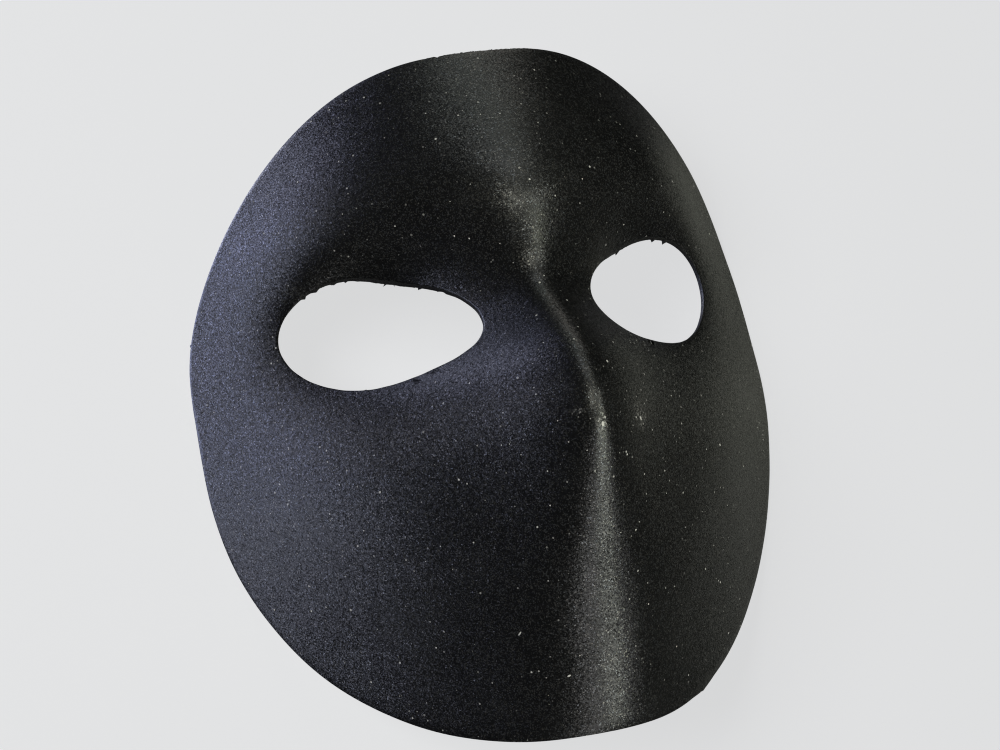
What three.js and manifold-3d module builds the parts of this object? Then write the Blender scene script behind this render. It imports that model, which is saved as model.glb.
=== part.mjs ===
// A muta: a plain black face mask of pressed paper with no mouth, lying face up on the two sides of its rim.
// Millimetres. X runs across the face, Y from the chin to the crown, Z out of the face.
import * as THREE from "three";
import { mergeVertices } from "three/addons/utils/BufferGeometryUtils.js";
import Module from "manifold-3d";

// Driving sizes
const halfHeight = 95;
const halfWidth = 85;
const wall = 2;
const restFlatDepth = 1.6; // how much of the rim's lowest stretch is trimmed flat, so that it lies without rolling

// The centre line in side view, from the chin up. Height is measured from the level of the chin and crown, and spread
// is the half width of the raised middle: the nose ridge, the keel under it and the broad ridge of the forehead.
const stations = [
  { at: "chin", y: -95, height: -1, spread: 33 },
  { at: "jaw", y: -62, height: 15.5, spread: 27.5 },
  { at: "lip", y: -32, height: 32, spread: 23.5 },
  { at: "nose tip", y: -13, height: 39.5, spread: 25 },
  { at: "nose bridge", y: 6, height: 32, spread: 22 },
  { at: "nasion", y: 25, height: 16, spread: 15.5 },
  { at: "forehead", y: 44, height: 19.5, spread: 31 },
  { at: "hairline", y: 66, height: 15, spread: 60 },
  { at: "crown", y: 95, height: 1, spread: 90 },
];

// The dome that the raised middle stands on: its height at mid face, and how much lower it is at chin and crown.
const dome = { height: 5, drop: 25.5 };

// How far each side falls back at the half width, as a parabola eased by a quartic, each changing towards the crown.
const fall = { back: 76, backTowardsCrown: -13, ease: -13, easeTowardsCrown: 5.5 };

// Soft swellings and hollows of each half, with their size along and across an axis that is turned in degrees.
const brow = { x: 51.5, y: 44, height: 8, along: 22.5, across: 14.5, turn: -72 };
const socket = { x: 41, y: 27, height: -19, along: 11.5, across: 9.5, turn: 25 };
const cheek = { x: 45, y: -30, height: 5.7, along: 26.5, across: 16.5, turn: 37 };

// The trimmed rim in front view, as sine terms across and cosine terms up the face: an egg with full temples.
const rimAcross = [0, 88.7, -6.8, -2.2, -0.8, -3.8, 1.6];
const rimUp = [10.2, 95.6, -9.8, 4.9, -2.1, -5.5, 1.6];

// Each eye opening is a tilted ellipse, narrower at its inner corner and fuller at its outer end.
const eye = {
  x: 39.5,
  y: 22.4,
  halfLength: 24,
  halfOpening: 15.6,
  tilt: 15,
  outerFullness: 0.062,
  lowerFullness: 0.029,
  cornerDraw: 0.026,
  cornerSkew: 0.02,
};

// Mesh steps
const centreSteps = 34;
const rimSteps = 46;
const rings = 12;

// A natural cubic spline through the stations' values.
function stationCurve(key) {
  const ys = stations.map((station) => station.y);
  const values = stations.map((station) => station[key]);
  const last = ys.length - 1;
  const bend = new Array(ys.length).fill(0);
  const carry = new Array(ys.length).fill(0);
  for (let i = 1; i < last; i++) {
    const before = ys[i] - ys[i - 1];
    const after = ys[i + 1] - ys[i];
    const kink = (values[i + 1] - values[i]) / after - (values[i] - values[i - 1]) / before;
    const pivot = 2 * (before + after) - before * carry[i - 1];
    carry[i] = after / pivot;
    bend[i] = (6 * kink - before * bend[i - 1]) / pivot;
  }
  for (let i = last - 1; i > 0; i--) bend[i] -= carry[i] * bend[i + 1];
  return (y) => {
    let i = 0;
    while (i < last - 1 && y > ys[i + 1]) i++;
    const span = ys[i + 1] - ys[i];
    const b = (y - ys[i]) / span;
    const a = 1 - b;
    const sag = ((a ** 3 - a) * bend[i] + (b ** 3 - b) * bend[i + 1]) * (span ** 2 / 6);
    return a * values[i] + b * values[i + 1] + sag;
  };
}

const centreHeight = stationCurve("height");
const ridgeSpread = stationCurve("spread");

function swelling(form, x, y) {
  const turn = THREE.MathUtils.degToRad(form.turn);
  const dx = Math.abs(x) - form.x;
  const dy = y - form.y;
  const along = (dx * Math.cos(turn) + dy * Math.sin(turn)) / form.along;
  const across = (dy * Math.cos(turn) - dx * Math.sin(turn)) / form.across;
  return form.height * Math.exp(-(along ** 2 + across ** 2) / 2);
}

// Height of the mask's outer face over a point of the front view.
function faceHeight(x, y) {
  const side = (x / halfWidth) ** 2;
  const up = y / halfHeight;
  const offRidge = (x / ridgeSpread(y)) ** 2;
  const centre = centreHeight(y);
  const ridge = centre - (dome.height - dome.drop * up ** 2);
  const ridgeFall = (ridge * offRidge) / (1 + offRidge);
  const fallBack = (fall.back + fall.backTowardsCrown * up) * side;
  const easing = (fall.ease + fall.easeTowardsCrown * up) * side ** 2;
  const swellings = [brow, socket, cheek].reduce((sum, form) => sum + swelling(form, x, y), 0);
  return centre - ridgeFall - fallBack - easing + swellings;
}

function facePoint(x, y) {
  return new THREE.Vector3(x, y, faceHeight(x, y));
}

function faceNormal(x, y) {
  const step = 0.1;
  const slopeX = (faceHeight(x + step, y) - faceHeight(x - step, y)) / (2 * step);
  const slopeY = (faceHeight(x, y + step) - faceHeight(x, y - step)) / (2 * step);
  return new THREE.Vector3(-slopeX, -slopeY, 1).normalize();
}

// A point of the rim in front view: turn is 0 at the crown and PI at the chin.
function rimPoint(turn) {
  const x = rimAcross.reduce((sum, size, k) => sum + size * Math.sin(k * turn), 0);
  const y = rimUp.reduce((sum, size, k) => sum + size * Math.cos(k * turn), 0);
  return new THREE.Vector2(x, y);
}

// The point of the right eye opening's edge that lies in a given direction from the eye's centre.
function eyePoint(direction) {
  const a = direction - THREE.MathUtils.degToRad(eye.tilt);
  const ellipse =
    (eye.halfLength * eye.halfOpening) / Math.hypot(eye.halfOpening * Math.cos(a), eye.halfLength * Math.sin(a));
  const draw = 1 + eye.outerFullness * Math.cos(a) - eye.lowerFullness * Math.sin(a);
  const reach = ellipse * (draw - eye.cornerDraw * Math.cos(3 * a) + eye.cornerSkew * Math.sin(3 * a));
  return new THREE.Vector2(eye.x + reach * Math.cos(direction), eye.y + reach * Math.sin(direction));
}

// The border of the right half: up the centre line, then round the rim from the crown to the chin.
function halfBorder() {
  const border = [];
  const chin = rimPoint(Math.PI).y;
  const crown = rimPoint(0).y;
  for (let i = 0; i < centreSteps; i++) {
    border.push(new THREE.Vector2(0, THREE.MathUtils.lerp(chin, crown, i / centreSteps)));
  }
  for (let i = 0; i < rimSteps; i++) border.push(rimPoint((Math.PI * i) / rimSteps));
  border[centreSteps].x = 0;
  return border;
}

// One half of the shell as rings of quads that spread from the eye opening to the half's border.
// hand is 1 for the right half and -1 for the left. Only the border's rim stretch is closed by an edge.
function halfShell(hand) {
  const border = halfBorder();
  const count = border.length;
  const outer = [];
  const inner = [];
  for (let ring = 0; ring <= rings; ring++) {
    for (const edge of border) {
      const start = eyePoint(Math.atan2(edge.y - eye.y, edge.x - eye.x));
      const spot = start.lerp(edge, ring / rings);
      const point = facePoint(spot.x, spot.y);
      const normal = faceNormal(spot.x, spot.y);
      if (ring === rings && edge.x === 0) normal.x = 0;
      outer.push(point);
      inner.push(point.clone().addScaledVector(normal, -wall));
    }
  }
  const corners = [];
  const quad = (a, b, c, d) => corners.push(...(hand > 0 ? [a, b, c, a, c, d] : [a, c, b, a, d, c]));
  for (let i = 0; i < count; i++) {
    const next = (i + 1) % count;
    for (let ring = 0; ring < rings; ring++) {
      const here = ring * count;
      const there = here + count;
      quad(outer[here + i], outer[here + next], outer[there + next], outer[there + i]);
      quad(inner[here + i], inner[there + i], inner[there + next], inner[here + next]);
    }
    quad(inner[i], inner[next], outer[next], outer[i]);
    const rim = rings * count;
    if (i >= centreSteps) quad(outer[rim + i], outer[rim + next], inner[rim + next], inner[rim + i]);
  }
  return corners.map((corner) => new THREE.Vector3(hand * corner.x, corner.y, corner.z));
}

// The whole shell, lowered so that the trimmed rim is at height 0.
function shellGeometry() {
  const corners = [...halfShell(1), ...halfShell(-1)];
  const lowest = Math.min(...corners.map((corner) => corner.z));
  for (const corner of corners) corner.z -= lowest + restFlatDepth;
  return new THREE.BufferGeometry().setFromPoints(corners);
}

const wasm = await Module();
wasm.setup();

function toSolid(geometry) {
  const bare = geometry.clone();
  bare.deleteAttribute("normal");
  bare.deleteAttribute("uv");
  const merged = mergeVertices(bare, 1e-4);
  return new wasm.Manifold(
    new wasm.Mesh({
      numProp: 3,
      vertProperties: new Float32Array(merged.getAttribute("position").array),
      triVerts: new Uint32Array(merged.index.array),
    }),
  );
}

function toGeometry(solid) {
  const mesh = solid.getMesh();
  const geometry = new THREE.BufferGeometry();
  geometry.setAttribute("position", new THREE.BufferAttribute(mesh.vertProperties, 3));
  geometry.setIndex(new THREE.BufferAttribute(mesh.triVerts, 1));
  geometry.computeVertexNormals();
  return geometry;
}

// What is taken off the rim's lowest stretches, which leaves the two flats that the mask lies on.
function belowRest() {
  const depth = 10 * restFlatDepth;
  const block = new THREE.BoxGeometry(4 * halfWidth, 4 * halfHeight, depth);
  return block.translate(0, 0, -depth / 2);
}

const blackPaper = new THREE.MeshStandardMaterial({ color: 0x17171a, roughness: 0.62, metalness: 0 });
const shell = new THREE.Mesh(toGeometry(toSolid(shellGeometry()).subtract(toSolid(belowRest()))), blackPaper);
shell.name = "mask_shell";

const muta = new THREE.Group();
muta.name = "muta";
muta.add(shell);

export default muta;
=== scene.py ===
"""A muta: a plain black full-face mask of pressed paper with no mouth, lying face up on a pale floor."""
import logging
from dataclasses import dataclass, field
from enum import Enum
from math import cos, pi, radians, sin
from typing import Callable, Optional, Sequence, Union

import bpy
import numpy as np
from mathutils import Matrix, Vector


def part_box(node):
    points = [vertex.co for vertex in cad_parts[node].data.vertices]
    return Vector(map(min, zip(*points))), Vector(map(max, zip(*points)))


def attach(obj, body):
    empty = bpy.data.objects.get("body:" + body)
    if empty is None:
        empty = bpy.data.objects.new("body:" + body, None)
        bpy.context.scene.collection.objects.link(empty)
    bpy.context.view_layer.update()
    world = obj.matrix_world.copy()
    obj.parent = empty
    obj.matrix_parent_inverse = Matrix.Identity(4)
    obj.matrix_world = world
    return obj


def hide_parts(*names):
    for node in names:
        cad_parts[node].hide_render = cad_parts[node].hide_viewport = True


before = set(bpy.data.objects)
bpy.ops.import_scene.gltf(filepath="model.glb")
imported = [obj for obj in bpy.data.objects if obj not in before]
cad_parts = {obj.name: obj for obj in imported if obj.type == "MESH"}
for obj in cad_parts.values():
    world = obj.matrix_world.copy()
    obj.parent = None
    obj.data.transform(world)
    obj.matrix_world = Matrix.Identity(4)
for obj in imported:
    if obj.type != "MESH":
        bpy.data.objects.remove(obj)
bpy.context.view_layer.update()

LOG = logging.getLogger("muta")
MM = 0.001
NODE = "mask_shell"
BODY = "root"
NOISE_MIDDLE = 0.5

Colour = tuple[float, float, float, float]
Curve = Callable[[np.ndarray], np.ndarray]
Plan = tuple[np.ndarray, np.ndarray]
Triple = tuple[float, float, float]


class Surface(Enum):
    """The three kinds of surface on the shell, in the order of its material slots."""

    FACE = 0
    INSIDE = 1
    CUT_EDGE = 2


def natural_spline(knots: Sequence[float], values: Sequence[float]) -> Curve:
    """Makes a natural cubic spline.

    Args:
        knots: Rising places along the curve.
        values: The curve's value at each knot.

    Returns:
        A function from an array of places to an array of values.
    """
    x = np.asarray(knots, float)
    v = np.asarray(values, float)
    span = np.diff(x)
    slope = np.diff(v) / span
    system = np.eye(len(x))
    kinks = np.zeros(len(x))
    for i in range(1, len(x) - 1):
        system[i, i - 1 : i + 2] = span[i - 1], 2 * (span[i - 1] + span[i]), span[i]
        kinks[i] = 6 * (slope[i] - slope[i - 1])
    bend = np.linalg.solve(system, kinks)

    def value(place: np.ndarray) -> np.ndarray:
        """Evaluates the spline.

        Args:
            place: Places along the curve.

        Returns:
            The curve's values there.
        """
        i = np.clip(np.searchsorted(x, place) - 1, 0, len(span) - 1)
        b = (place - x[i]) / span[i]
        a = 1 - b
        sag = ((a**3 - a) * bend[i] + (b**3 - b) * bend[i + 1]) * span[i] ** 2 / 6
        return a * v[i] + b * v[i + 1] + sag

    return value


@dataclass(frozen=True)
class Station:
    """One level of the face: the centre line's height there and the half width of its raised middle."""

    y: float
    height: float
    spread: float


@dataclass(frozen=True)
class Swelling:
    """A soft bump of each half, or a hollow where its height is negative, turned in degrees."""

    x: float
    y: float
    height: float
    along: float
    across: float
    turn: float

    def lift(self, x: np.ndarray, y: np.ndarray) -> np.ndarray:
        """Gives the height that this swelling adds.

        Args:
            x: Places across the face, the same on either side.
            y: Places up the face.

        Returns:
            Heights to add, in millimetres.
        """
        turn = radians(self.turn)
        dx = np.abs(x) - self.x
        dy = y - self.y
        along = (dx * cos(turn) + dy * sin(turn)) / self.along
        across = (dy * cos(turn) - dx * sin(turn)) / self.across
        return self.height * np.exp(-(along**2 + across**2) / 2)


@dataclass(frozen=True)
class EyeOpening:
    """A tilted ellipse, narrower at its inner corner and fuller at its outer end."""

    x: float = 39.5
    y: float = 22.4
    half_length: float = 24.0
    half_opening: float = 15.6
    tilt: float = 15.0
    outer_fullness: float = 0.062
    lower_fullness: float = 0.029
    corner_draw: float = 0.026
    corner_skew: float = 0.02

    def reach(self, direction: np.ndarray) -> np.ndarray:
        """Gives how far the edge is from the centre.

        Args:
            direction: Directions round the centre, in radians from +X.

        Returns:
            Distances in millimetres.
        """
        a = direction - radians(self.tilt)
        longest = self.half_opening * np.cos(a)
        ellipse = self.half_length * self.half_opening / np.hypot(longest, self.half_length * np.sin(a))
        draw = 1 + self.outer_fullness * np.cos(a) - self.lower_fullness * np.sin(a)
        return ellipse * (draw - self.corner_draw * np.cos(3 * a) + self.corner_skew * np.sin(3 * a))


@dataclass(frozen=True)
class MaskForm:
    """The smooth form that the mask was pressed on, in millimetres, as a height over its front view."""

    half_height: float = 95.0
    half_width: float = 85.0
    stations: tuple[Station, ...] = (
        Station(-95, -1, 33),
        Station(-62, 15.5, 27.5),
        Station(-32, 32, 23.5),
        Station(-13, 39.5, 25),
        Station(6, 32, 22),
        Station(25, 16, 15.5),
        Station(44, 19.5, 31),
        Station(66, 15, 60),
        Station(95, 1, 90),
    )
    dome_height: float = 5.0
    dome_drop: float = 25.5
    fall_back: float = 76.0
    fall_back_towards_crown: float = -13.0
    fall_ease: float = -13.0
    fall_ease_towards_crown: float = 5.5
    swellings: tuple[Swelling, ...] = (
        Swelling(51.5, 44, 8, 22.5, 14.5, -72),
        Swelling(41, 27, -19, 11.5, 9.5, 25),
        Swelling(45, -30, 5.7, 26.5, 16.5, 37),
    )
    # The rim is a sum of sines across the face and of cosines up it, by how often each goes round.
    rim_across: tuple[float, ...] = (0, 88.7, -6.8, -2.2, -0.8, -3.8, 1.6)
    rim_up: tuple[float, ...] = (10.2, 95.6, -9.8, 4.9, -2.1, -5.5, 1.6)
    crease_height: float = 1.4
    crease_width: float = 5.2
    crease_y: float = -8.0
    crease_length: float = 34.0
    eye: EyeOpening = EyeOpening()
    fine_steps: int = 4001

    def crease(self, x: np.ndarray, y: np.ndarray) -> np.ndarray:
        """Gives how far the crease of the nose's bridge stands above the broad ridge of the solid."""
        off_middle = (x / self.crease_width) ** 2 + ((y - self.crease_y) / self.crease_length) ** 2
        return self.crease_height * np.exp(-off_middle)

    def station_curve(self, key: str) -> Curve:
        """Draws a spline through one value of the stations, named by key."""
        return natural_spline([s.y for s in self.stations], [getattr(s, key) for s in self.stations])

    def height(self, x: np.ndarray, y: np.ndarray) -> np.ndarray:
        """Gives the outer face's height over points of the front view.

        Args:
            x: Places across the face.
            y: Places up the face.

        Returns:
            Heights above the level of the chin and crown.
        """
        side = (x / self.half_width) ** 2
        up = y / self.half_height
        off_ridge = (x / self.station_curve("spread")(y)) ** 2
        centre = self.station_curve("height")(y)
        ridge = centre - (self.dome_height - self.dome_drop * up**2)
        fall = (self.fall_back + self.fall_back_towards_crown * up) * side
        ease = (self.fall_ease + self.fall_ease_towards_crown * up) * side**2
        swell = sum(s.lift(x, y) for s in self.swellings)
        return centre - ridge * off_ridge / (1 + off_ridge) - fall - ease + swell + self.crease(x, y)

    def top(self) -> float:
        """Gives the height of the nose tip without its crease, as the solid has it."""
        line = np.linspace(-self.half_height, self.half_height, self.fine_steps)
        return float((self.height(0 * line, line) - self.crease(0 * line, line)).max())

    def rim(self, turn: np.ndarray) -> Plan:
        """Gives the rim in front view.

        Args:
            turn: How far round the rim, from 0 at the crown to pi at the chin.

        Returns:
            Places across and up the face.
        """
        x = sum(size * np.sin(k * turn) for k, size in enumerate(self.rim_across))
        y = sum(size * np.cos(k * turn) for k, size in enumerate(self.rim_up))
        return x, y


@dataclass(frozen=True)
class Burr:
    """A torn tuft that stands out from a cut edge, or a nick where its size is negative, in millimetres.

    Its place and width are in degrees: round the eye opening's centre, or round the rim from the crown.
    """

    place: float
    size: float
    width: float


@dataclass(frozen=True)
class RaggedStretch:
    """A stretch of cut edge that was left rough, between two directions in degrees."""

    start: float
    end: float
    depth: float


@dataclass(frozen=True)
class Trim:
    """A broad place where the cut strayed outward, or inward where its depth is negative."""

    place: float
    depth: float
    width: float


@dataclass(frozen=True)
class EdgeWear:
    """How roughly one edge was cut: where it strayed, its ragged stretches, single nicks and a seed.

    Waves are counted to the turn. The line wanders in a few low ones. A ragged stretch is made of fine ones
    and of the bunches that they come in. Tufts stand out above one level of them, and nicks are cut below
    another.
    """

    seed: int
    trims: tuple[Trim, ...] = ()
    stretches: tuple[RaggedStretch, ...] = ()
    burrs: tuple[Burr, ...] = ()
    wander: float = 0.0075
    wander_waves: tuple[int, int] = (5, 30)
    finest_waves: int = 420
    wave_steps: int = 16
    wave_spread: int = 5
    wave_divisor: float = 3.0
    fine_coarseness: int = 6
    bunch_coarseness: int = 30
    tuft_level: float = 0.8
    nick_level: float = 1.2
    nick_share: float = 0.4
    bunch_share: float = 0.15
    bunch_lift: float = 0.2
    end_fade: float = 2.5
    torn_seed: int = 100

    def line(self, degrees: np.ndarray) -> np.ndarray:
        """Gives how far the cut's line stands in from the drawn one.

        Args:
            degrees: Directions round the edge.

        Returns:
            Distances in millimetres.
        """
        chance = np.random.default_rng(self.seed)
        turn = np.radians(degrees)
        total = 0 * degrees
        for waves in range(*self.wander_waves):
            total = total + self.wander * chance.normal() * np.sin(waves * turn + chance.uniform(0, 2 * pi))
        for trim in self.trims:
            near = np.clip(1 - self.away(degrees, trim.place) / trim.width, 0, 1)
            total = total - trim.depth * (1 - np.cos(pi * near)) / 2
        return total

    def torn(self, degrees: np.ndarray) -> np.ndarray:
        """Gives how far torn tufts reach beyond the cut's line, less its nicks.

        Args:
            degrees: Directions round the edge.

        Returns:
            Distances in millimetres.
        """
        chance = np.random.default_rng(self.seed + self.torn_seed)
        turn = np.radians(degrees)
        total = 0 * degrees
        for stretch in self.stretches:
            half = (stretch.end - stretch.start) / 2
            fade = np.clip(self.end_fade * (1 - self.away(degrees, stretch.start + half) / half), 0, 1)
            rough = self._waves(turn, chance, self.fine_coarseness)
            bunched = self._waves(turn, chance, self.bunch_coarseness)
            tufts = np.maximum(rough - self.tuft_level, 0) * np.clip(bunched + self.bunch_lift, 0, 1)
            nicks = self.nick_share * np.maximum(-rough - self.nick_level, 0)
            total = total + stretch.depth * fade * (tufts - nicks + self.bunch_share * bunched)
        for burr in self.burrs:
            total = total + burr.size * np.maximum(1 - self.away(degrees, burr.place) / burr.width, 0)
        return total

    def _waves(self, turn: np.ndarray, chance: np.random.Generator, coarseness: int) -> np.ndarray:
        """Sums waves of random height round the edge.

        Args:
            turn: Directions round the edge, in radians.
            chance: The source of random numbers.
            coarseness: How many times as long as the finest detail of the edge the longest wave is.

        Returns:
            The sum of the waves, mostly within 2 of 0.
        """
        total = 0 * turn
        for k in range(self.wave_steps):
            waves = round(self.finest_waves / coarseness * (1 + k * self.wave_spread / self.wave_steps))
            wave = chance.normal() * np.sin(waves * turn + chance.uniform(0, 2 * pi))
            total = total + wave / self.wave_divisor
        return total

    @staticmethod
    def away(degrees: np.ndarray, place: float) -> np.ndarray:
        """Gives the turn between each direction and a place, in degrees."""
        return np.abs((degrees - place + 180) % 360 - 180)


class Nodes:
    """A material's node tree, with one method that makes any node and one that wraps its output."""

    def __init__(self, name: str) -> None:
        """Starts an empty material.

        Args:
            name: The material's name.
        """
        self.material = bpy.data.materials.new(name)
        self.material.use_nodes = True
        self.tree = self.material.node_tree
        self.tree.nodes.clear()

    def make(self, kind: str, settings: Optional[dict] = None, **values: object) -> bpy.types.Node:
        """Makes a node.

        Args:
            kind: The node's type, such as ShaderNodeTexNoise.
            settings: Properties that are set before the sockets, such as a Math node's operation.
            **values: Socket values or links by socket name, with underscores for spaces.

        Returns:
            The new node.
        """
        node = self.tree.nodes.new(kind)
        for key, value in (settings or {}).items():
            setattr(node, key, value)
        for key, value in values.items():
            self.feed(self._socket(node, key), value)
        return node

    @staticmethod
    def _socket(node: bpy.types.Node, key: str) -> bpy.types.NodeSocket:
        """Finds an input of a node.

        Args:
            node: The node.
            key: An input's name with underscores for spaces, or its number after an underscore.

        Returns:
            The input, which is an enabled one where a name is given.
        """
        if key.startswith("_"):
            return node.inputs[int(key[1:])]
        name = key.replace("_", " ")
        return next(s for s in node.inputs if s.name == name and s.enabled)

    def feed(self, socket: bpy.types.NodeSocket, value: object) -> None:
        """Links a value into a socket, or sets the socket to a plain value.

        Args:
            socket: The input that is fed.
            value: A value, a socket to link from, or a plain number, vector or colour.
        """
        if isinstance(value, Value):
            self.tree.links.new(value.socket, socket)
        elif isinstance(value, bpy.types.NodeSocket):
            self.tree.links.new(value, socket)
        else:
            socket.default_value = value

    def value(
        self, kind: str, output: Union[str, int], settings: Optional[dict] = None, **values: object
    ) -> "Value":
        """Makes a node, as make does, and wraps one of its outputs."""
        return Value(self, self.make(kind, settings, **values).outputs[output])

    def mix(self, factor: "Value", low: object, high: object) -> bpy.types.NodeSocket:
        """Mixes two colours by a factor."""
        return self.make("ShaderNodeMix", {"data_type": "RGBA"}, _0=factor, _6=low, _7=high).outputs[2]

    def vector(self, operation: str, a: object, b: object = (0.0, 0.0, 0.0)) -> bpy.types.NodeSocket:
        """Makes a Vector Math node on two vectors."""
        return self.make("ShaderNodeVectorMath", {"operation": operation}, _0=a, _1=b).outputs[0]

    def scaled(self, vector: object, scale: object) -> bpy.types.NodeSocket:
        """Scales a vector by a number or a value."""
        return self.make("ShaderNodeVectorMath", {"operation": "SCALE"}, _0=vector, _3=scale).outputs[0]


Number = Union["Value", float, int]


class Value:
    """A number on a node socket, which Python's operators turn into Math nodes."""

    def __init__(self, nodes: Nodes, socket: bpy.types.NodeSocket) -> None:
        """Wraps a socket of a node tree."""
        self.nodes = nodes
        self.socket = socket

    def _math(self, operation: str, a: Number, b: Number = 0.0, clamp: bool = False) -> "Value":
        """Adds a Math node on one or two numbers."""
        settings = {"operation": operation, "use_clamp": clamp}
        return self.nodes.value("ShaderNodeMath", 0, settings, _0=a, _1=b)

    def __add__(self, other: Number) -> "Value":
        """Adds."""
        return self._math("ADD", self, other)

    __radd__ = __add__

    def __sub__(self, other: Number) -> "Value":
        """Subtracts."""
        return self._math("SUBTRACT", self, other)

    def __rsub__(self, other: Number) -> "Value":
        """Subtracts this value from a number."""
        return self._math("SUBTRACT", other, self)

    def __mul__(self, other: Number) -> "Value":
        """Multiplies."""
        return self._math("MULTIPLY", self, other)

    __rmul__ = __mul__

    def __lt__(self, other: Number) -> "Value":
        """Gives 1 where this is less than the other."""
        return self._math("LESS_THAN", self, other)

    def clamped(self) -> "Value":
        """Limits to the range 0 to 1."""
        return self._math("ADD", self, 0.0, clamp=True)

    def larger(self, other: Number) -> "Value":
        """Takes the larger of two numbers."""
        return self._math("MAXIMUM", self, other)

    def ramp(self, low: float, high: float) -> "Value":
        """Rises smoothly from 0 at low to 1 at high, or falls where low is the higher."""
        settings = {"interpolation_type": "SMOOTHSTEP"}
        return self.nodes.value(
            "ShaderNodeMapRange", 0, settings, Value=self, From_Min=low, From_Max=high, To_Min=0.0, To_Max=1.0
        )


class MarkKind(Enum):
    """What a single mark on the paint is."""

    SPECK = "a speck of dust with a clear edge"
    SCUFF = "a soft dusty scuff, broken up by the grain"
    SCRATCH = "a scratch that is duller than the paint"
    DUSTY = "a place where the loose specks lie thicker"


@dataclass(frozen=True)
class Mark:
    """One mark, an ellipsoid round a place on the face in millimetres, turned in degrees about Z."""

    kind: MarkKind
    place: Triple
    size: Triple
    turn: float = 0.0
    strength: float = 1.0


@dataclass(frozen=True)
class Dust:
    """Loose specks: the width of the cells they lie in, their largest radius and how many cells have one.

    Lengths are in millimetres.
    """

    spacing: float
    radius: float
    share: float
    strength: float
    least_size: float = 0.3
    least_brightness: float = 0.2


@dataclass(frozen=True)
class Lint:
    """Short pale fibres, scattered in long thin cells that noise bends. Scales are in cells to the metre."""

    strength: float
    scale: float = 190.0
    radius: float = 0.02
    share: float = 0.05
    thinness: float = 0.12
    turn: Triple = (0.4, 0.9, 0.7)
    bend: float = 0.0035
    bend_scale: float = 420.0


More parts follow.
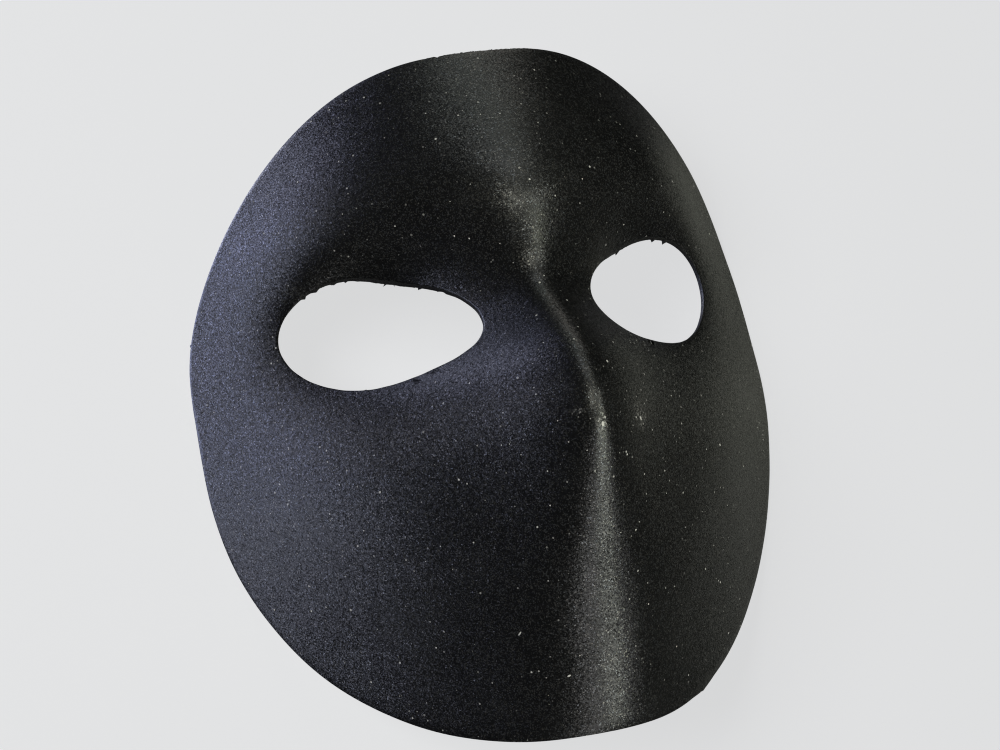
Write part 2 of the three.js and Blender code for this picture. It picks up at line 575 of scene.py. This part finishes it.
@dataclass(frozen=True)
class PaintedPaper:
    """Matt black paint over pressed paper: pebbled grain with small glints, dust, lint and faint scuffs."""

    name: str = "Painted paper"
    black: Colour = (0.002, 0.002, 0.0021, 1)
    rubbed: Colour = (0.009, 0.009, 0.0088, 1)
    dust_colour: Colour = (0.36, 0.35, 0.33, 1)
    roughness: float = 0.33
    gloss: float = 0.31
    refraction: float = 1.45
    grain_mm: float = 0.27
    grain_tilt: float = 0.24
    fleck_share: float = 0.32
    fleck_tilt: float = 0.04
    fleck_warm: Colour = (0.074, 0.07, 0.063, 1)
    fleck_cool: Colour = (0.063, 0.068, 0.075, 1)
    pebble_mm: float = 1.2
    pebble_depth_mm: float = 0.06
    cloud_scale: float = 34.0
    rubbed_levels: tuple[float, float] = (0.45, 0.8)
    rubbed_most: float = 0.3
    cloud_roughness: float = 0.1
    dust_roughness: float = 0.3
    scratch_roughness: float = 0.4
    crumb_scale: float = 1500.0
    crumb_levels: tuple[float, float] = (0.48, 0.72)
    speck_core: float = 0.8
    scratch_core: float = 0.6
    dusts: tuple[Dust, ...] = (Dust(3.6, 0.36, 0.6, 1.0), Dust(1.7, 0.3, 0.4, 1.0))
    lint: Lint = Lint(0.5)
    marks: tuple[Mark, ...] = ()

    def build(self) -> bpy.types.Material:
        """Builds the material on the shell's Object coordinates.

        Returns:
            The finished material.
        """
        n = Nodes(self.name)
        place = n.make("ShaderNodeTexCoord").outputs["Object"]
        clouds = n.value(
            "ShaderNodeTexNoise", 0, Vector=place, Scale=self.cloud_scale, Detail=3.0, Roughness=0.55
        )
        grains = self._cells(n, place, 1 / (self.grain_mm * MM))
        dirt = self._fibres(n, place) * self.lint.strength
        thick = self._sum_of(n, place, MarkKind.DUSTY) + 1.0
        for dust in self.dusts:
            dirt = dirt.larger(self._scatter(n, place, dust, thick))
        for mark in self._marks(MarkKind.SPECK):
            dirt = dirt.larger(self._inside(n, place, mark).ramp(1.0, self.speck_core) * mark.strength)
        scuffs = self._scuffs(n, place)
        scratches = self._sum_of(n, place, MarkKind.SCRATCH, self.scratch_core)
        coat = n.mix(clouds.ramp(*self.rubbed_levels) * self.rubbed_most, self.black, self.rubbed)
        fleck, fleck_colour = self._flecks(n, grains)
        coat = n.mix(fleck, coat, fleck_colour)
        grime = dirt.larger(scuffs).clamped()
        coat = n.mix(grime, coat, self.dust_colour)
        roughness = self.roughness + (clouds - NOISE_MIDDLE) * self.cloud_roughness
        roughness = roughness + dirt * self.dust_roughness + scuffs * self.dust_roughness
        roughness = roughness + scratches * self.scratch_roughness
        shader = n.make(
            "ShaderNodeBsdfPrincipled",
            Base_Color=coat,
            Roughness=roughness.clamped(),
            Metallic=fleck * (1 - grime),
            Normal=self._grain(n, place, grains, fleck),
            IOR=self.refraction,
            Specular_IOR_Level=self.gloss,
        )
        n.make("ShaderNodeOutputMaterial", Surface=shader.outputs[0])
        return n.material

    def _marks(self, kind: MarkKind) -> list[Mark]:
        """Lists the marks of one kind."""
        return [mark for mark in self.marks if mark.kind is kind]

    def _flecks(self, n: Nodes, grains: bpy.types.Node) -> tuple[Value, bpy.types.NodeSocket]:
        """Picks the grains that shine like little mirrors, some of them warmer and some cooler.

        Args:
            n: The material's nodes.
            grains: The cells of the grain.

        Returns:
            How much each grain shines, and the colour of its shine.
        """
        chance = n.make("ShaderNodeTexWhiteNoise", Vector=grains.outputs["Position"])
        colours = n.make("ShaderNodeSeparateColor", Color=chance.outputs["Color"])
        shine, warmth = (Value(n, colours.outputs[i]) for i in range(2))
        return shine.ramp(1 - self.fleck_share, 1.0), n.mix(warmth, self.fleck_cool, self.fleck_warm)

    def _grain(
        self, n: Nodes, place: bpy.types.NodeSocket, grains: bpy.types.Node, fleck: Value
    ) -> bpy.types.NodeSocket:
        """Makes the normal: low pebbles with a fine facet of its own tilt on every grain.

        Args:
            n: The material's nodes.
            place: Object coordinates.
            grains: The cells of the grain.
            fleck: How much each grain shines.

        Returns:
            The normal's socket.
        """
        steepness = fleck * self.fleck_tilt + self.grain_tilt
        lean = n.vector("SUBTRACT", grains.outputs["Color"], (NOISE_MIDDLE,) * 3)
        tilt = n.scaled(lean, steepness)
        pebbles = n.value(
            "ShaderNodeTexNoise", 0, Vector=place, Scale=1 / (self.pebble_mm * MM), Detail=2.0, Roughness=0.6
        )
        bump = n.make("ShaderNodeBump", Strength=1.0, Distance=self.pebble_depth_mm * MM, Height=pebbles)
        return n.vector("NORMALIZE", n.vector("ADD", bump.outputs[0], tilt))

    @staticmethod
    def _cells(n: Nodes, place: bpy.types.NodeSocket, per_metre: float) -> bpy.types.Node:
        """Makes a random grid of cells, that many to the metre."""
        return n.make("ShaderNodeTexVoronoi", {"feature": "F1"}, Vector=place, Scale=per_metre)

    def _scatter(self, n: Nodes, place: bpy.types.NodeSocket, dust: Dust, thick: Number) -> Value:
        """Scatters round specks of random size and brightness, one in some of the cells of a random grid.

        Args:
            n: The material's nodes.
            place: Object coordinates.
            dust: The specks' sizes and number.
            thick: How many times thicker they lie here.

        Returns:
            The speck's brightness, and 0 elsewhere.
        """
        cell = self._cells(n, place, 1 / (dust.spacing * MM))
        chance = n.make("ShaderNodeSeparateColor", Color=cell.outputs["Color"])
        size, chosen, bright = (Value(n, chance.outputs[i]) for i in range(3))
        radius = (size * size * (1 - dust.least_size) + dust.least_size) * (dust.radius / dust.spacing)
        near = Value(n, cell.outputs["Distance"]) < radius
        brightness = bright * bright * (1 - dust.least_brightness) + dust.least_brightness
        return near * (chosen < thick * dust.share) * brightness * dust.strength

    def _fibres(self, n: Nodes, place: bpy.types.NodeSocket) -> Value:
        """Scatters the lint.

        Args:
            n: The material's nodes.
            place: Object coordinates.

        Returns:
            1 on a fibre and 0 elsewhere.
        """
        lint = self.lint
        bend = n.make("ShaderNodeTexNoise", Vector=place, Scale=lint.bend_scale, Detail=1.0)
        bent = n.vector("ADD", place, n.scaled(bend.outputs["Color"], lint.bend))
        stretch = (1.0, lint.thinness, 1.0)
        turned = n.make("ShaderNodeMapping", Vector=bent, Rotation=lint.turn, Scale=stretch)
        cell = self._cells(n, turned.outputs[0], lint.scale)
        chance = n.make("ShaderNodeSeparateColor", Color=cell.outputs["Color"])
        chosen = Value(n, chance.outputs[1]) < lint.share
        return (Value(n, cell.outputs["Distance"]) < lint.radius) * chosen

    @staticmethod
    def _inside(n: Nodes, place: bpy.types.NodeSocket, mark: Mark) -> Value:
        """Measures from a mark's middle.

        Args:
            n: The material's nodes.
            place: Object coordinates.
            mark: The mark.

        Returns:
            The distance from its middle, 1 at its edge.
        """
        local = n.make(
            "ShaderNodeMapping",
            {"vector_type": "TEXTURE"},
            Vector=place,
            Location=tuple(p * MM for p in mark.place),
            Rotation=(0.0, 0.0, radians(mark.turn)),
            Scale=tuple(s * MM for s in mark.size),
        )
        length = n.make("ShaderNodeVectorMath", {"operation": "LENGTH"}, _0=local.outputs[0])
        return Value(n, length.outputs["Value"])

    def _scuffs(self, n: Nodes, place: bpy.types.NodeSocket) -> Value:
        """Adds up the dusty scuffs, broken by fine noise."""
        crumbs = n.value(
            "ShaderNodeTexNoise", 0, Vector=place, Scale=self.crumb_scale, Detail=3.0, Roughness=0.7
        )
        return self._sum_of(n, place, MarkKind.SCUFF) * crumbs.ramp(*self.crumb_levels)

    def _sum_of(self, n: Nodes, place: bpy.types.NodeSocket, kind: MarkKind, core: float = 0.0) -> Number:
        """Adds up the marks of one kind.

        Args:
            n: The material's nodes.
            place: Object coordinates.
            kind: The kind of mark.
            core: How far out from its middle, as a share of its size, a mark keeps its full strength.

        Returns:
            The sum of the marks' strengths.
        """
        total: Number = 0.0
        for mark in self._marks(kind):
            total = total + self._inside(n, place, mark).ramp(1.0, core) * mark.strength
        return total


@dataclass
class MaskShell:
    """The mask itself: one pressed shell with two eye openings, a ragged cut edge and two rest flats.

    Lengths are in millimetres and angles in degrees.
    """

    form: MaskForm
    wall: float = 2.0
    centre_steps: int = 190
    rim_steps: int = 310
    rings: int = 32
    edge_cuts: int = 2
    edge_round: float = 0.3
    edge_segments: int = 2
    smooth_angle: float = 38.0
    wear_fade: float = 0.7
    straight_cut_fade: float = 2.5
    outer_wear: float = 0.3
    weld: float = 0.001
    cut_weld: float = 0.0001
    rim_table: int = 2001
    floor_drop: float = field(init=False)

    def __post_init__(self) -> None:
        """Finds how far the form stands above the floor when the mask lies on its flats."""
        self.floor_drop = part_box(NODE)[1].z / MM - self.form.top()

    def make(self) -> bpy.types.Object:
        """Models the shell and dresses it.

        Returns:
            The finished object, at the origin.
        """
        shell = self._grid()
        self._roll_round_eye(shell)
        self._mirror(shell)
        self._refine_edges()
        self._press(shell)
        self._thicken(shell)
        self._round_cut_edges(shell)
        self._trim_rest_flats()
        bpy.ops.object.shade_smooth_by_angle(angle=radians(self.smooth_angle))
        return shell

    def _grid(self) -> bpy.types.Object:
        """Adds the flat grid that becomes half the shell: rings along x, steps round the border along y.

        Returns:
            The new object, selected and active.
        """
        bpy.ops.object.select_all(action="DESELECT")
        bpy.ops.mesh.primitive_grid_add(
            x_subdivisions=self.rings, y_subdivisions=self.centre_steps + self.rim_steps, size=1
        )
        shell = bpy.context.object
        shell.name = "mask"
        return shell

    def _roll_round_eye(self, shell: bpy.types.Object) -> None:
        """Rolls the grid round the eye opening, out to the border of its half, and joins its seam.

        Args:
            shell: The flat grid.
        """
        mesh = shell.data
        steps = self.centre_steps + self.rim_steps
        flat = read_points(mesh)
        share = flat[:, 0] + 0.5
        step = np.rint((flat[:, 1] + 0.5) * steps).astype(int) % steps
        border_x, border_y = self._border()
        eye = self.form.eye
        direction = np.arctan2(border_y - eye.y, border_x - eye.x)
        reach = eye.reach(direction)
        edge_x, edge_y = eye.x + reach * np.cos(direction), eye.y + reach * np.sin(direction)
        x = edge_x[step] + (border_x - edge_x)[step] * share
        y = edge_y[step] + (border_y - edge_y)[step] * share
        write_points(mesh, np.stack([x, y, 0 * x], 1) * MM)
        bpy.ops.object.mode_set(mode="EDIT")
        bpy.ops.mesh.select_all(action="SELECT")
        bpy.ops.mesh.remove_doubles(threshold=self.weld * MM)
        bpy.ops.mesh.normals_make_consistent(inside=False)
        bpy.ops.object.mode_set(mode="OBJECT")
        if sum(p.normal.z for p in mesh.polygons) < 0:
            mesh.flip_normals()

    def _border(self) -> Plan:
        """Draws the half's border in front view: up the centre line, then round the rim to the chin.

        Returns:
            Places across and up the face, one for each step of the grid.
        """
        turn = np.arange(self.rim_steps) * pi / self.rim_steps
        rim_x, rim_y = self.form.rim(turn)
        chin = self.form.rim(np.array([pi]))[1][0]
        line = chin + (rim_y[0] - chin) * np.arange(self.centre_steps) / self.centre_steps
        return np.concatenate([0 * line, rim_x]), np.concatenate([line, rim_y])

    def _mirror(self, shell: bpy.types.Object) -> None:
        """Mirrors the half across the centre line.

        Args:
            shell: The right half of the shell.
        """
        mirror = shell.modifiers.new("other half", "MIRROR")
        mirror.use_axis = (True, False, False)
        mirror.merge_threshold = self.weld * MM
        apply_modifiers(shell)

    def _refine_edges(self) -> None:
        """Splits the steps along the cut edges, so that they can carry small tufts and nicks."""
        bpy.ops.object.mode_set(mode="EDIT")
        bpy.ops.mesh.select_mode(type="EDGE")
        bpy.ops.mesh.select_all(action="DESELECT")
        bpy.ops.mesh.select_non_manifold()
        bpy.ops.mesh.subdivide(number_cuts=self.edge_cuts)
        bpy.ops.mesh.select_all(action="DESELECT")
        bpy.ops.object.mode_set(mode="OBJECT")

    def _press(self, shell: bpy.types.Object) -> None:
        """Moves every vertex to its place on the form, with each side's own wear along its cut edges.

        Args:
            shell: The flat shell, both halves.
        """
        mesh = shell.data
        flat = read_points(mesh) / MM
        x, y = flat[:, 0].copy(), flat[:, 1].copy()
        turns = np.linspace(0, pi, self.rim_table)
        rim_x, rim_y = self.form.rim(turns)
        for side in (-1, 1):
            eye_wear, rim_wear = EYE_WEAR[side], RIM_WEAR[side]
            here = flat[:, 0] * side > 0
            direction, outside = self._from_eye(flat[here], side)
            degrees = np.degrees(direction)
            from_eye = -eye_wear.line(degrees) * np.exp(-outside / self.straight_cut_fade)
            from_eye -= self.outer_wear * eye_wear.torn(degrees) * np.exp(-outside / self.wear_fade)
            half_x, half_y = np.abs(flat[here, 0]), flat[here, 1]
            bearing = np.arctan2(half_x, half_y)
            turn = np.interp(bearing, np.arctan2(rim_x, rim_y), turns)
            edge_x, edge_y = self.form.rim(turn)
            inside = np.maximum(np.hypot(edge_x, edge_y) - np.hypot(half_x, half_y), 0)
            stands_out = rim_wear.torn(np.degrees(turn)) - rim_wear.line(np.degrees(turn))
            outward = stands_out * np.exp(-inside / self.wear_fade)
            x[here] += side * (from_eye * np.cos(direction) + outward * np.sin(bearing))
            y[here] += from_eye * np.sin(direction) + outward * np.cos(bearing)
        z = self.form.height(x, y) + self.floor_drop + HandPressing().lift(x, y)
        write_points(mesh, np.stack([x, y, z], 1) * MM)

    def _from_eye(self, points: np.ndarray, side: int) -> Plan:
        """Gives points' directions round the eye on their side, and how far they are outside its drawn line.

        Args:
            points: Rows of x, y and z in millimetres.
            side: -1 for the left half or 1 for the right half.

        Returns:
            Directions in radians and distances in millimetres, no less than 0.
        """
        eye = self.form.eye
        across, up = points[:, 0] * side - eye.x, points[:, 1] - eye.y
        direction = np.arctan2(up, across)
        return direction, np.maximum(np.hypot(across, up) - eye.reach(direction), 0)

    def _thicken(self, shell: bpy.types.Object) -> None:
        """Gives the skin its finishes and its wall, inward, with the eye openings cut straight through it.

        Args:
            shell: The pressed skin.
        """
        for surface in Surface:
            shell.data.materials.append(FINISHES[surface].build())
        wall = shell.modifiers.new("wall", "SOLIDIFY")
        wall.thickness = self.wall * MM
        wall.offset = -1
        wall.use_even_offset = True
        wall.use_quality_normals = True
        wall.material_offset = Surface.INSIDE.value
        wall.material_offset_rim = Surface.CUT_EDGE.value
        outer_count = len(shell.data.vertices)
        apply_modifiers(shell)
        self._cut_eyes_straight(shell, outer_count)

    def _cut_eyes_straight(self, shell: bpy.types.Object, outer_count: int) -> None:
        """Moves the inner skin along itself at the eyes: the knife went straight down and tore the back.

        Args:
            shell: The shell with its wall, the outer skin's vertices first.
            outer_count: How many vertices the outer skin has.
        """
        points = read_points(shell.data) / MM
        outer, inner = points[:outer_count], points[outer_count : 2 * outer_count]
        through = outer - inner
        normal = through / np.linalg.norm(through, axis=1, keepdims=True)
        move = np.zeros((outer_count, 2))
        for side, wear in EYE_WEAR.items():
            here = outer[:, 0] * side > 0
            direction, outside = self._from_eye(outer[here], side)
            straight = np.exp(-((outside / self.straight_cut_fade) ** 2))
            fade = np.exp(-outside / self.wear_fade)
            torn = (1 - self.outer_wear) * wear.torn(np.degrees(direction)) * fade
            move[here] = through[here, :2] * straight[:, None]
            move[here] -= torn[:, None] * np.stack([side * np.cos(direction), np.sin(direction)], 1)
        inner[:, :2] += move
        inner[:, 2] -= (normal[:, :2] * move).sum(1) / normal[:, 2]
        write_points(shell.data, points * MM)

    def _round_cut_edges(self, shell: bpy.types.Object) -> None:
        """Rounds both arrises of every cut edge a little, as paint does.

        Args:
            shell: The shell with its wall.
        """
        bpy.ops.object.mode_set(mode="EDIT")
        bpy.ops.mesh.select_mode(type="FACE")
        bpy.ops.mesh.select_all(action="DESELECT")
        shell.active_material_index = Surface.CUT_EDGE.value
        bpy.ops.object.material_slot_select()
        bpy.ops.mesh.region_to_loop()
        bpy.ops.mesh.bevel(
            offset=self.edge_round * MM, segments=self.edge_segments, affect="EDGES", clamp_overlap=False
        )
        bpy.ops.mesh.select_all(action="DESELECT")
        bpy.ops.object.mode_set(mode="OBJECT")

    def _trim_rest_flats(self) -> None:
        """Cuts the rim's lowest stretches off level with the floor."""
        bpy.ops.object.mode_set(mode="EDIT")
        bpy.ops.mesh.select_all(action="SELECT")
        bpy.ops.mesh.bisect(
            plane_co=(0, 0, 0),
            plane_no=(0, 0, 1),
            use_fill=True,
            clear_inner=True,
            threshold=self.cut_weld * MM,
        )
        bpy.ops.mesh.select_all(action="DESELECT")
        bpy.ops.object.mode_set(mode="OBJECT")


def read_points(mesh: bpy.types.Mesh) -> np.ndarray:
    """Reads a mesh's vertices.

    Args:
        mesh: The mesh.

    Returns:
        Rows of x, y and z, in metres.
    """
    points = np.zeros(len(mesh.vertices) * 3, np.float32)
    mesh.vertices.foreach_get("co", points)
    return points.reshape(-1, 3).astype(float)


def write_points(mesh: bpy.types.Mesh, points: np.ndarray) -> None:
    """Writes a mesh's vertices from rows of x, y and z."""
    mesh.vertices.foreach_set("co", points.astype(np.float32).ravel())
    mesh.update()


def apply_modifiers(piece: bpy.types.Object) -> None:
    """Applies all of a piece's modifiers in their order."""
    bpy.context.view_layer.objects.active = piece
    for modifier in list(piece.modifiers):
        bpy.ops.object.modifier_apply(modifier=modifier.name)


@dataclass(frozen=True)
class HandPressing:
    """The slight unevenness of a skin that was pressed by hand: long low waves, in millimetres."""

    seed: int = 7
    waves: int = 26
    shortest: float = 14.0
    longest: float = 46.0
    usual: float = 30.0
    depth: float = 0.022

    def lift(self, x: np.ndarray, y: np.ndarray) -> np.ndarray:
        """Gives how far the skin stands above the form.

        Args:
            x: Places across the face.
            y: Places up the face.

        Returns:
            Heights in millimetres.
        """
        chance = np.random.default_rng(self.seed)
        total = np.zeros(len(x))
        for _ in range(self.waves):
            wave = chance.uniform(self.shortest, self.longest)
            turn = chance.uniform(0, pi)
            along = x * cos(turn) + y * sin(turn)
            start = 2 * pi * along / wave
            total += chance.normal() * np.sin(start + chance.uniform(0, 2 * pi)) * wave / self.usual
        return total * self.depth


FORM = MaskForm()

LEFT_EYE_WEAR = EdgeWear(
    seed=11,
    trims=(Trim(196.0, 1.3, 42.0),),
    stretches=(RaggedStretch(38, 175, 0.1),),
    burrs=(
        Burr(43.5, 0.7, 1.6),
        Burr(51.5, 0.6, 3.0),
        Burr(64.5, 0.35, 2.6),
        Burr(74.0, 0.3, 1.6),
        Burr(143.0, 0.5, 1.8),
        Burr(159.5, -0.3, 3.0),
        Burr(293.0, 0.45, 1.2),
    ),
)
RIGHT_EYE_WEAR = EdgeWear(
    seed=12,
    stretches=(RaggedStretch(35, 120, 0.06),),
    burrs=(Burr(53.5, 1.0, 2.2), Burr(64.5, 0.7, 2.4), Burr(113.0, 0.5, 1.1)),
)
LEFT_RIM_WEAR = EdgeWear(
    seed=13,
    stretches=(RaggedStretch(-6, 16, 0.3),),
    burrs=(Burr(11.0, -0.35, 0.5), Burr(4.2, 0.3, 0.5), Burr(73.7, 0.4, 0.35)),
    finest_waves=1500,
)
RIGHT_RIM_WEAR = EdgeWear(
    seed=14,
    stretches=(RaggedStretch(-6, 18, 0.38),),
    burrs=(Burr(156.0, 0.5, 3.0), Burr(156.3, 0.2, 0.4)),
    finest_waves=1500,
)
EYE_WEAR = {-1: LEFT_EYE_WEAR, 1: RIGHT_EYE_WEAR}
RIM_WEAR = {-1: LEFT_RIM_WEAR, 1: RIGHT_RIM_WEAR}

FACE_MARKS = (
    Mark(MarkKind.DUSTY, (6.0, -14.0, 92.0), (22.0, 22.0, 22.0), strength=1.5),
    Mark(MarkKind.DUSTY, (24.0, -12.0, 74.0), (26.0, 30.0, 30.0), strength=4.0),
    Mark(MarkKind.SCUFF, (0.8, -19.2, 98.0), (2.2, 4.5, 3.0), strength=0.9),
    Mark(MarkKind.SCUFF, (-4.2, -15.1, 97.3), (6.0, 1.1, 2.5), strength=0.7),
    Mark(MarkKind.SCUFF, (15.6, -17.0, 86.0), (4.5, 6.0, 8.0), 20.0, 0.45),
    Mark(MarkKind.SCUFF, (21.0, -8.0, 79.0), (7.0, 14.0, 14.0), -10.0, 0.1),
    Mark(MarkKind.SCUFF, (-59.0, 40.0, 35.0), (5.0, 4.0, 6.0), strength=0.12),
    Mark(MarkKind.SPECK, (1.0, -19.4, 98.0), (0.4, 0.7, 1.0), strength=1.0),
    Mark(MarkKind.SPECK, (1.8, -17.8, 98.0), (0.25, 0.35, 1.0), strength=0.8),
    Mark(MarkKind.SPECK, (15.6, -17.9, 85.7), (0.4, 0.7, 0.7), 30.0, 0.8),
    Mark(MarkKind.SPECK, (-20.8, -65.5, 60.9), (0.2, 0.8, 0.8), -35.0, 0.9),
    Mark(MarkKind.SPECK, (51.2, -23.7, 46.3), (0.35, 0.35, 0.6), strength=0.9),
    Mark(MarkKind.SPECK, (-10.3, -78.7, 62.3), (0.6, 0.25, 0.6), 20.0, 0.9),
    Mark(MarkKind.SPECK, (8.1, -26.4, 90.4), (0.3, 0.3, 0.5), strength=0.7),
    Mark(MarkKind.SPECK, (-48.2, -21.4, 50.3), (0.35, 0.35, 0.6), strength=0.7),
    Mark(MarkKind.SCRATCH, (27.5, -5.0, 71.0), (0.35, 6.5, 8.0), -62.0),
)
FINISHES = {
    Surface.FACE: PaintedPaper(marks=FACE_MARKS),
    Surface.INSIDE: PaintedPaper(
        name="Inside of the paper",
        black=(0.014, 0.0135, 0.013, 1),
        rubbed=(0.05, 0.046, 0.04, 1),
        roughness=0.6,
        grain_tilt=0.16,
        pebble_mm=3.0,
        pebble_depth_mm=0.2,
        dusts=(Dust(5.0, 0.2, 0.2, 0.3),),
        lint=Lint(0.2),
    ),
    Surface.CUT_EDGE: PaintedPaper(
        name="Cut edge",
        black=(0.012, 0.012, 0.012, 1),
        rubbed=(0.06, 0.057, 0.05, 1),
        roughness=0.5,
        gloss=0.15,
        fleck_share=0.15,
        grain_tilt=0.35,
        pebble_mm=0.6,
        dusts=(Dust(2.0, 0.15, 0.2, 0.3),),
        lint=Lint(0.0),
    ),
}


@dataclass(frozen=True)
class Softbox:
    """A square soft light far from the mask, by its bearing from +X and its height, both in degrees."""

    name: str
    bearing: float
    height: float
    power: float
    colour: Triple
    size: float = 1.1
    distance: float = 3.0

    def hang(self, lit: bpy.types.Object, blocked_by: bpy.types.Object) -> None:
        """Hangs the light for one object alone, out of the camera's sight.

        Args:
            lit: The object that it lights.
            blocked_by: The object that throws shadows in it.
        """
        bearing, height = radians(self.bearing), radians(self.height)
        away = Vector((cos(height) * cos(bearing), cos(height) * sin(bearing), sin(height)))
        bpy.ops.object.light_add(type="AREA")
        light = bpy.context.object
        light.name = self.name
        light.data.size = self.size
        light.data.energy = self.power
        light.data.color = self.colour
        light.location = away * self.distance
        light.rotation_mode = "QUATERNION"
        light.rotation_quaternion = away.to_track_quat("Z", "Y")
        light.visible_camera = False
        light.light_linking.receiver_collection = self._only(lit)
        light.light_linking.blocker_collection = self._only(blocked_by)

    @staticmethod
    def _only(thing: bpy.types.Object) -> bpy.types.Collection:
        """Gives a collection that holds one object alone.

        Args:
            thing: The object.

        Returns:
            Its collection, the same one each time.
        """
        name = "only " + thing.name
        group = bpy.data.collections.get(name) or bpy.data.collections.new(name)
        if thing.name not in group.objects:
            group.objects.link(thing)
        return group


@dataclass
class Studio:
    """The camera that looks down on the lying mask, the pale floor and the soft lights."""

    pitch: float = -9.24
    yaw: float = 15.99
    roll: float = 11.42
    across: float = 11.554
    up: float = -1.785
    distance: float = 541.9
    lens_px: float = 2000.0
    frame_px: float = 1000.0
    pixel_blur: float = 1.15
    sensor: float = 36.0
    nearest: float = 0.01
    floor_half: float = 4.0
    floor_colour: Colour = (0.5, 0.5, 0.5, 1)
    floor_glow: Colour = (0.672, 0.677, 0.682, 1)
    floor_roughness: float = 0.9
    backdrop: Colour = (0.74, 0.745, 0.76, 1)

    def build(self) -> bpy.types.Object:
        """Makes the camera, the floor and the pale backdrop.

        Returns:
            The floor.
        """
        self._camera(self.axes().transposed())
        self._backdrop()
        bpy.context.scene.view_settings.view_transform = "Standard"
        bpy.context.scene.cycles.filter_width = self.pixel_blur
        return self._floor()

    def axes(self) -> Matrix:
        """Gives the camera's directions.

        Returns:
            Its right, up and backward directions in the frame, as rows.
        """
        turn = Matrix.Rotation(radians(self.roll), 3, "Z")
        nod = Matrix.Rotation(radians(self.pitch), 3, "X")
        swing = Matrix.Rotation(radians(self.yaw), 3, "Y")
        return turn @ nod @ swing

    def _camera(self, turn: Matrix) -> None:
        """Places the camera by its turn, its distance and its small offsets from the form's own origin.

        Args:
            turn: The camera's turn in the frame.
        """
        bpy.ops.object.camera_add()
        camera = bpy.context.object
        origin = Vector((0, 0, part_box(NODE)[1].z - FORM.top() * MM))
        seen = Vector((-self.across, -self.up, self.distance)) * MM
        camera.matrix_world = Matrix.Translation(origin + turn @ seen) @ turn.to_4x4()
        camera.data.sensor_width = self.sensor
        camera.data.lens = self.sensor * self.lens_px / self.frame_px
        camera.data.clip_start = self.nearest
        bpy.context.scene.camera = camera

    def _floor(self) -> bpy.types.Object:
        """Lays the pale floor, which glows a little so that the shadows on it stay light.

        Returns:
            The floor.
        """
        bpy.ops.object.select_all(action="DESELECT")
        bpy.ops.mesh.primitive_plane_add(size=2 * self.floor_half)
        floor = bpy.context.object
        floor.name = "floor"
        floor.visible_glossy = False
        n = Nodes("Pale floor")
        shader = n.make(
            "ShaderNodeBsdfPrincipled",
            Base_Color=self.floor_colour,
            Roughness=self.floor_roughness,
            Specular_IOR_Level=0.0,
            Emission_Color=self.floor_glow,
            Emission_Strength=1.0,
        )
        n.make("ShaderNodeOutputMaterial", Surface=shader.outputs[0])
        floor.data.materials.append(n.material)
        return floor

    def _backdrop(self) -> None:
        """Makes everything beyond the floor the same pale grey, for the camera alone."""
        world = bpy.context.scene.world or bpy.data.worlds.new("World")
        bpy.context.scene.world = world
        world.use_nodes = True
        background = world.node_tree.nodes["Background"]
        background.inputs[0].default_value = self.backdrop
        world.cycles_visibility.diffuse = False
        world.cycles_visibility.glossy = False


FACE_LIGHTS = (
    Softbox("front right", 296, 42, 38.5, (0.97, 1.0, 0.92)),
    Softbox("overhead", 120, 86, 38.0, (0.99, 1.0, 0.87)),
    Softbox("floor bounce, crown left", 135, -42, 44.0, (0.72, 0.76, 1.0)),
    Softbox("right", 0, 56, 27.9, (0.97, 1.0, 0.89)),
    Softbox("left window, low", 158, -28, 33.5, (0.55, 0.61, 1.0)),
    Softbox("chin side", 260, 28, 22.1, (1.0, 0.99, 0.98)),
    Softbox("front far right", 321, 42, 19.3, (0.92, 1.0, 0.73)),
    Softbox("crown light", 90, 42, 12.5, (0.96, 1.0, 0.99)),
    Softbox("left window, lower", 189, -14, 19.7, (0.74, 0.78, 1.0)),
    Softbox("crown right", 64, 42, 10.5, (0.97, 1.0, 0.92)),
    Softbox("crown left window", 135, -14, 18.5, (0.69, 0.72, 1.0)),
    Softbox("front far right, low", 320, 28, 9.0, (0.96, 0.93, 1.0)),
    Softbox("nose side window", 117, -14, 6.0, (0.64, 0.68, 1.0)),
    Softbox("left window", 171, -14, 11.4, (0.67, 0.74, 1.0)),
    Softbox("left window, level", 162, 0, 7.4, (0.87, 0.86, 1.0)),
    Softbox("crown side, low", 81, 14, 5.2, (0.86, 1.0, 0.92)),
    Softbox("crown side, level", 72, 0, 7.2, (1.0, 0.96, 0.88)),
    Softbox("floor bounce, right", 15, -42, 1.2, (0.97, 1.0, 0.85)),
    Softbox("floor bounce, lower right", 345, -42, 0.8, (0.98, 1.0, 0.9)),
    Softbox("floor bounce, crown right", 45, -42, 0.41, (0.95, 0.95, 1.0)),
    Softbox("bounce right", 0, -28, 0.6, (0.99, 1.0, 0.84)),
)
FLOOR_KEY = Softbox("floor key", 165, 50, 5.2, (0.95, 0.97, 1.0), size=0.7, distance=1.5)


def dress(piece: bpy.types.Object) -> None:
    """Puts a finished piece on the frame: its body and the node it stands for.

    Args:
        piece: The finished piece.
    """
    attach(piece, BODY)
    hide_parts(NODE)
    triangles = sum(len(p.vertices) - 2 for p in piece.data.polygons)
    LOG.info("%s: %d triangles", piece.name, triangles)


def main() -> None:
    """Builds the studio and the mask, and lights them."""
    logging.basicConfig(level=logging.INFO, format="%(message)s")
    floor = Studio().build()
    mask = MaskShell(FORM).make()
    dress(mask)
    for light in FACE_LIGHTS:
        light.hang(mask, mask)
    FLOOR_KEY.hang(floor, mask)


if __name__ == "__main__":
    main()
